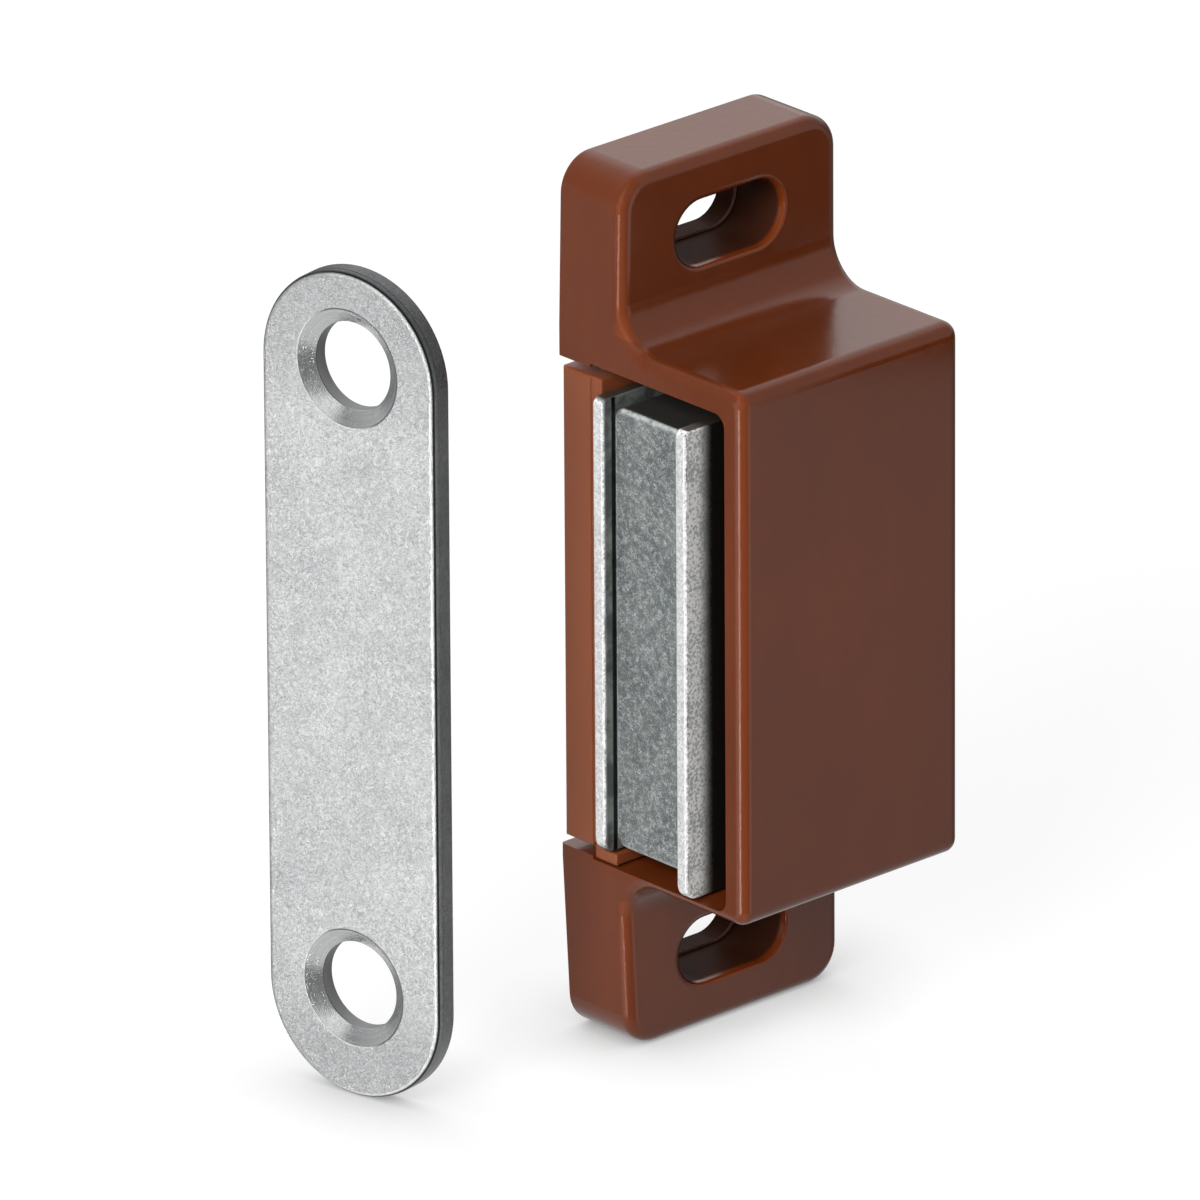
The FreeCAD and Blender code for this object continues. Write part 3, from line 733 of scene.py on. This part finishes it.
def strike_tree():
    """A flat plate with full round ends and two countersunk holes, as a geometry tree."""
    tree, bench, size = geometry_group("stamped_strike", (
        "Length", "Width", "Thickness", "Lower Hole", "Upper Hole", "Bore Radius",
        "Sink Radius", "Sink Depth",
        "Rollover", "Burr", "Groove Depth", "Groove Top", "Groove Width", "Lip", "Margin"))
    box = bench.add("GeometryNodeCurvePrimitiveQuadrilateral", None, {
        "Width": size["Width"], "Height": size["Length"]})
    outline = bench.add("GeometryNodeFilletCurve", {"mode": "POLY"}, {
        "Curve": box, "Count": 28, "Radius": size["Width"] * 0.4999, "Limit Radius": True})
    groove_mid = size["Groove Top"] + size["Groove Width"] / 2
    groove_end = size["Groove Top"] + size["Groove Width"]
    rim = sweep(bench, outline, bent_profile(bench, [
        (-size["Rollover"], 0.0, 0.0),
        (0.0, 0.0, size["Rollover"] * 0.98),
        (0.0, size["Groove Top"], 0.0),
        (-size["Groove Depth"], groove_mid, 0.0),
        (0.0, groove_end, 0.0),
        (0.0, size["Thickness"], size["Burr"]),
        (size["Burr"] * -1.5, size["Thickness"], 0.0)]))
    bore = bench.add("GeometryNodeCurvePrimitiveCircle", None, {
        "Resolution": 96, "Radius": size["Bore Radius"]})
    sink = size["Sink Radius"] - size["Bore Radius"]
    wall = sweep(bench, bore, bent_profile(bench, [
        (sink + size["Margin"], 0.0, 0.0),
        (sink, 0.0, size["Lip"]),
        (0.0, size["Sink Depth"], size["Lip"] * 0.6),
        (0.0, size["Thickness"], size["Lip"] * 0.8),
        (size["Margin"], size["Thickness"], 0.0)]))
    centres = joined(bench, *[bench.add("GeometryNodePoints", None, {
        "Count": 1, "Position": bench.add("ShaderNodeCombineXYZ", None, {1: size[hole]})})
        for hole in ("Lower Hole", "Upper Hole")])
    holes = bench.add("GeometryNodeInstanceOnPoints", None, {
        "Points": centres, "Instance": wall})
    shell = joined(bench, rim, bench.add("GeometryNodeRealizeInstances", None, {0: holes}))

    open_edge = bench.add("FunctionNodeCompare", {
        "data_type": "INT", "operation": "EQUAL"}, {
            2: bench.add("GeometryNodeInputMeshEdgeNeighbors"), 3: 1})
    height = bench.split(bench.add("GeometryNodeInputPosition"))[2]
    middle = size["Thickness"] * -0.5
    faces = []
    for side in ("GREATER_THAN", "LESS_THAN"):
        level = bench.add("FunctionNodeCompare", {"operation": side}, {0: height, 1: middle})
        both = bench.add("FunctionNodeBooleanMath", {"operation": "AND"}, {
            0: open_edge, 1: level})
        loops = bench.add("GeometryNodeMeshToCurve", None, {"Mesh": shell, "Selection": both})
        faces.append(bench.add("GeometryNodeFillCurve", {"mode": "TRIANGLES"}, {0: loops}))
    back = bench.add("GeometryNodeTransform", None, {
        "Geometry": bench.add("GeometryNodeFlipFaces", None, {0: faces[1]}),
        "Translation": bench.add("ShaderNodeCombineXYZ", None, {2: -size["Thickness"]})})
    closed = bench.add("GeometryNodeMergeByDistance", None, {
        "Geometry": joined(bench, shell, faces[0], back), "Distance": 0.002 * MM})
    smooth = bench.add("GeometryNodeSetShadeSmooth", None, {0: closed})
    real = bench.add("GeometryNodeRealizeInstances", None, {0: smooth})
    finish = bench.add("GeometryNodeSetMaterial", None, {
        "Geometry": real, "Material": bpy.data.materials["strike_steel_plated"]})
    end = tree.nodes.new("NodeGroupOutput")
    bench.feed(end.inputs[0], finish)
    return tree


def outward_and_smooth(piece, sharp_angle=SHARP_ANGLE):
    """Faces outward, smooth curves, and flat faces kept flat up to their rounded edges."""
    shape = bmesh.new()
    shape.from_mesh(piece.data)
    bmesh.ops.recalc_face_normals(shape, faces=shape.faces)
    for edge in shape.edges:
        edge.smooth = edge.calc_face_angle(0) < sharp_angle
    for face in shape.faces:
        face.smooth = True
    shape.to_mesh(piece.data)
    shape.free()
    steady = piece.modifiers.new("steady_normals", "WEIGHTED_NORMAL")
    steady.keep_sharp = True
    steady.weight = NORMAL_WEIGHT
    apply_modifiers(piece)


def apply_modifiers(piece):
    """The mesh that the modifiers make, in place of the piece's own."""
    graph = bpy.context.evaluated_depsgraph_get()
    mesh = bpy.data.meshes.new_from_object(piece.evaluated_get(graph))
    piece.modifiers.clear()
    piece.data = mesh


def merged_copy(node_name, name):
    """A new piece with the node's form, its loose triangles merged into clean faces."""
    shape = bmesh.new()
    shape.from_mesh(frame["nodes"][node_name].data)
    bmesh.ops.remove_doubles(shape, verts=shape.verts, dist=MERGE_DISTANCE)
    bmesh.ops.dissolve_limit(shape, angle_limit=FLAT_ANGLE, verts=shape.verts,
                             edges=shape.edges)
    shape.verts.index_update()
    points = [tuple(vertex.co) for vertex in shape.verts]
    faces = [[vertex.index for vertex in face.verts] for face in shape.faces]
    shape.free()
    mesh = bpy.data.meshes.new(name)
    mesh.from_pydata(points, [], faces)
    piece = bpy.data.objects.new(name, mesh)
    bpy.context.scene.collection.objects.link(piece)
    return piece


def rounded_copy(node_name, name, width, material):
    """A merged copy whose edges are rounded by a small width."""
    piece = merged_copy(node_name, name)
    round_off = piece.modifiers.new("round_off", "BEVEL")
    round_off.width = width
    round_off.segments = 3
    round_off.limit_method = "ANGLE"
    round_off.angle_limit = ROUNDED_ANGLE
    round_off.use_clamp_overlap = True
    apply_modifiers(piece)
    outward_and_smooth(piece)
    piece.data.materials.append(material)
    return piece


def strike_layout():
    """The strike plate's own axes, its holes and its lengths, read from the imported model."""
    mounts = {mount["name"]: mount for mount in frame["record"]["mounts"]}
    holes = [mounts["strike_hole_lower"], mounts["strike_hole_upper"]]
    front = Vector(holes[0]["axis"]).normalized()
    long_way = Vector((0, 0, 1))
    across = long_way.cross(front)
    points = [vertex.co for vertex in frame["nodes"]["strike_plate"].data.vertices]

    def reach(direction):
        marks = [point.dot(direction) for point in points]
        return min(marks), max(marks)

    (left, right), (low, high), (back, face) = (reach(way) for way in (across, long_way, front))
    centre = across * (left + right) / 2 + long_way * (low + high) / 2 + front * face
    on_face = [point for point in points if face - point.dot(front) < 0.001 * MM]
    middle = Vector(holes[0]["pos_m"])
    return {
        "front": front, "across": across, "long_way": long_way, "centre": centre,
        "thickness": face - back, "width": right - left, "length": high - low,
        "holes": [(Vector(hole["pos_m"]) - centre).dot(long_way) for hole in holes],
        "bore": holes[0]["dims"]["r_mm"] * MM,
        "sink": min((point - middle).cross(front).length for point in on_face),
        "sink_depth": face - back - holes[0]["dims"]["length_mm"] * MM,
    }


def make_strike(layout):
    piece = run_group(strike_tree(), "strike_plate_stamped", {
        "Length": layout["length"], "Width": layout["width"],
        "Thickness": layout["thickness"], "Lower Hole": layout["holes"][0],
        "Upper Hole": layout["holes"][1], "Bore Radius": layout["bore"],
        "Sink Radius": layout["sink"], "Sink Depth": layout["sink_depth"],
        "Rollover": STRIKE_ROLLOVER, "Burr": STRIKE_BURR,
        "Groove Depth": STRIKE_GROOVE_DEPTH, "Groove Top": STRIKE_GROOVE_TOP,
        "Groove Width": STRIKE_GROOVE_WIDTH, "Lip": SINK_LIP, "Margin": SINK_MARGIN})
    turn = Matrix((layout["across"], layout["long_way"], layout["front"])).transposed()
    piece.data.transform(Matrix.Translation(layout["centre"]) @ turn.to_4x4())
    outward_and_smooth(piece, STRIKE_SHARP_ANGLE)
    return piece


def repaint(node_name, material):
    """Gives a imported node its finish."""
    for slot in frame["nodes"][node_name].material_slots:
        slot.material = material


def dress_catch():
    repaint("housing", make_moulding(
        "housing_brown_moulding", "housing_light", "housing_dark", 0.20, HOUSING_SKIN,
        slotted=True))
    repaint("rear_cover", make_moulding(
        "cover_brown_moulding", "cover_light", "cover_dark", 0.32, COVER_SKIN,
        soft_edge=COVER_EDGE))


def dress_pack():
    magnet_low, magnet_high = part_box("magnet")
    ferrite = make_ferrite(magnet_low, magnet_high)
    block = rounded_copy("magnet", "ferrite_block", MAGNET_ROUNDING, ferrite)
    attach(block, "magnet_pack")
    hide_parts("magnet")
    tucked_depth = magnet_low.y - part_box("pole_plate_inner")[0].y
    for node_name, *finish in (
            ("pole_plate_inner", "inner_grime", INNER_PAINTED_SHADE, tucked_depth),
            ("pole_plate_outer", "outer_grime", OUTER_PAINTED_SHADE)):
        steel = make_pole_steel(f"{node_name}_steel", *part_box(node_name), *finish)
        plate = rounded_copy(node_name, f"{node_name}_plated", PLATE_ROUNDING, steel)
        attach(plate, "magnet_pack")
        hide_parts(node_name)


def dress_strike():
    layout = strike_layout()
    make_strike_steel(layout)
    plate = make_strike(layout)
    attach(plate, "strike")
    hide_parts("strike_plate")


def make_floor():
    """A pale floor that keeps the object's shadow, with its glow dimmed near the object as a painted
    contact shadow. Shiny surfaces see the studio's rings instead.
    """
    mesh = bpy.data.meshes.new("floor")
    half = FLOOR_SIZE / 2
    mesh.from_pydata([(x, y, FLOOR_Z) for x, y in
                      ((-half, -half), (half, -half), (half, half), (-half, half))], [],
                     [(0, 1, 2, 3)])
    floor = bpy.data.objects.new("floor", mesh)
    floor.visible_glossy = False
    bpy.context.scene.collection.objects.link(floor)
    material, bench = new_material("floor_white")
    path = bench.add("ShaderNodeLightPath")
    seen = path.larger(path.out("Is Transmission Ray"))
    paint = bench.add("ShaderNodeBsdfDiffuse", None, {
        "Color": seen * FLOOR_PAINT_SEEN + (1.0 - seen) * FLOOR_PAINT})
    # Painted contact shadow: the floor's glow is dimmed where the object hides the open sky.
    open_sky = bench.add("ShaderNodeAmbientOcclusion", {"samples": 8}, {
        "Distance": CONTACT_REACH}, "AO")
    glow = bench.add("ShaderNodeEmission", None, {
        "Strength": seen * FLOOR_GLOW * (1.0 - (1.0 - open_sky) * CONTACT_SHADOW)})
    finish_with(bench, bench.add("ShaderNodeAddShader", None, {0: paint, 1: glow}))
    mesh.materials.append(material)


def make_card():
    """A black card of the studio, seen by shiny surfaces alone."""
    aside = CARD_DIRECTION.cross(Vector((0, 0, 1))) * CARD_HALF_WIDTH
    foot = CARD_DIRECTION * CARD_DISTANCE + Vector((LUG_FACE_X, 0, 0))
    corners = [foot + aside * side + Vector((0, 0, height)) for side, height in
               ((-1, CARD_LOW), (1, CARD_LOW), (1, CARD_HIGH), (-1, CARD_HIGH))]
    mesh = bpy.data.meshes.new("black_card")
    mesh.from_pydata([tuple(corner) for corner in corners], [], [(0, 1, 2, 3)])
    card = bpy.data.objects.new("black_card", mesh)
    for rays in ("camera", "diffuse", "transmission", "volume_scatter", "shadow"):
        setattr(card, f"visible_{rays}", False)
    bpy.context.scene.collection.objects.link(card)
    material, bench = new_material("card_black")
    finish_with(bench, bench.add("ShaderNodeBsdfDiffuse", None, {"Color": (0, 0, 0, 1)}))
    mesh.materials.append(material)


def make_world():
    """A dome that lights softly, is seen as white, and shows shiny surfaces a studio."""
    world = bpy.data.worlds.new("studio")
    world.use_nodes = True
    world.node_tree.nodes.clear()
    bench = Bench(world.node_tree)
    east, north, rise = bench.split(bench.add("ShaderNodeTexCoord", output="Generated"))
    sin_a, cos_a = math.sin(CAMERA_AZIMUTH), math.cos(CAMERA_AZIMUTH)
    to_right = east * cos_a + north * sin_a
    turn = to_right.math("ARCTAN2", to_right, east * sin_a - north * cos_a)
    share = turn / (2 * math.pi) + 0.5

    def ring(levels):
        stops = [(degrees / 360 + 0.5, (level / RING_PEAK,) * 3 + (1.0,))
                 for degrees, level in levels]
        return bench.add("ShaderNodeValToRGB", {"stops": stops}, {"Fac": share}) * RING_PEAK

    high = bench.fade(rise, LOW_RING_END, HIGH_RING_START)
    under = bench.fade(rise, UNDER_RING_END, LOW_RING_START, 1.0, 0.0)
    strip = bench.band(turn, STRIP_TURN, STRIP_HALF_TURN, STRIP_HALF_TURN / 3) * bench.band(
        rise, STRIP_RISE, STRIP_HALF_RISE, STRIP_HALF_RISE)
    mirrored = (ring(LOW_RING) * (1.0 - high - under) + ring(HIGH_RING) * high
                + under * UNDER_RING_LEVEL + strip * STRIP_LEVEL)
    path = bench.add("ShaderNodeLightPath")
    seen = path.larger(path.out("Is Transmission Ray"))
    glossy = path.out("Is Glossy Ray") * (1.0 - seen)
    level = seen + glossy * mirrored + (1.0 - seen) * (1.0 - glossy) * DOME_LIGHT
    sky = bench.add("ShaderNodeBackground", None, {
        "Color": (1.0, 1.0, 1.0, 1.0), "Strength": level})
    bench.add("ShaderNodeOutputWorld", None, {"Surface": sky})
    bpy.context.scene.world = world


def add_softbox(name, place, size, light):
    """A rectangular lamp that looks at the object, and how much light it gives a facing surface."""
    data = bpy.data.lights.new(name, "AREA")
    data.shape = "RECTANGLE"
    data.size, data.size_y = size
    data.energy = light * math.pi ** 2 * Vector(place).length_squared
    lamp = bpy.data.objects.new(name, data)
    lamp.location = place
    lamp.rotation_euler = (-Vector(place)).to_track_quat("-Z", "Y").to_euler()
    lamp.visible_glossy = False
    bpy.context.scene.collection.objects.link(lamp)


def make_camera():
    sin_a, cos_a = math.sin(CAMERA_AZIMUTH), math.cos(CAMERA_AZIMUTH)
    sin_e, cos_e = math.sin(CAMERA_ELEVATION), math.cos(CAMERA_ELEVATION)
    back = Vector((sin_a * cos_e, -cos_a * cos_e, sin_e))
    right = Vector((cos_a, sin_a, 0))
    up = back.cross(right)
    turned_right = math.cos(CAMERA_ROLL) * right + math.sin(CAMERA_ROLL) * up
    turned_up = back.cross(turned_right)
    data = bpy.data.cameras.new("camera")
    data.sensor_width = CAMERA_SENSOR
    data.lens = CAMERA_LENS
    data.clip_start, data.clip_end = CAMERA_CLIP
    camera = bpy.data.objects.new("camera", data)
    turn = Matrix((turned_right, turned_up, back)).transposed()
    camera.matrix_world = Matrix.Translation(CAMERA_TARGET + back * CAMERA_DISTANCE) \
        @ turn.to_4x4()
    bpy.context.scene.collection.objects.link(camera)
    bpy.context.scene.camera = camera


make_camera()
make_world()
make_floor()
make_card()
for softbox in SOFTBOXES:
    add_softbox(*softbox)
dress_catch()
dress_pack()
dress_strike()

bpy.context.scene.view_settings.view_transform = "Standard"
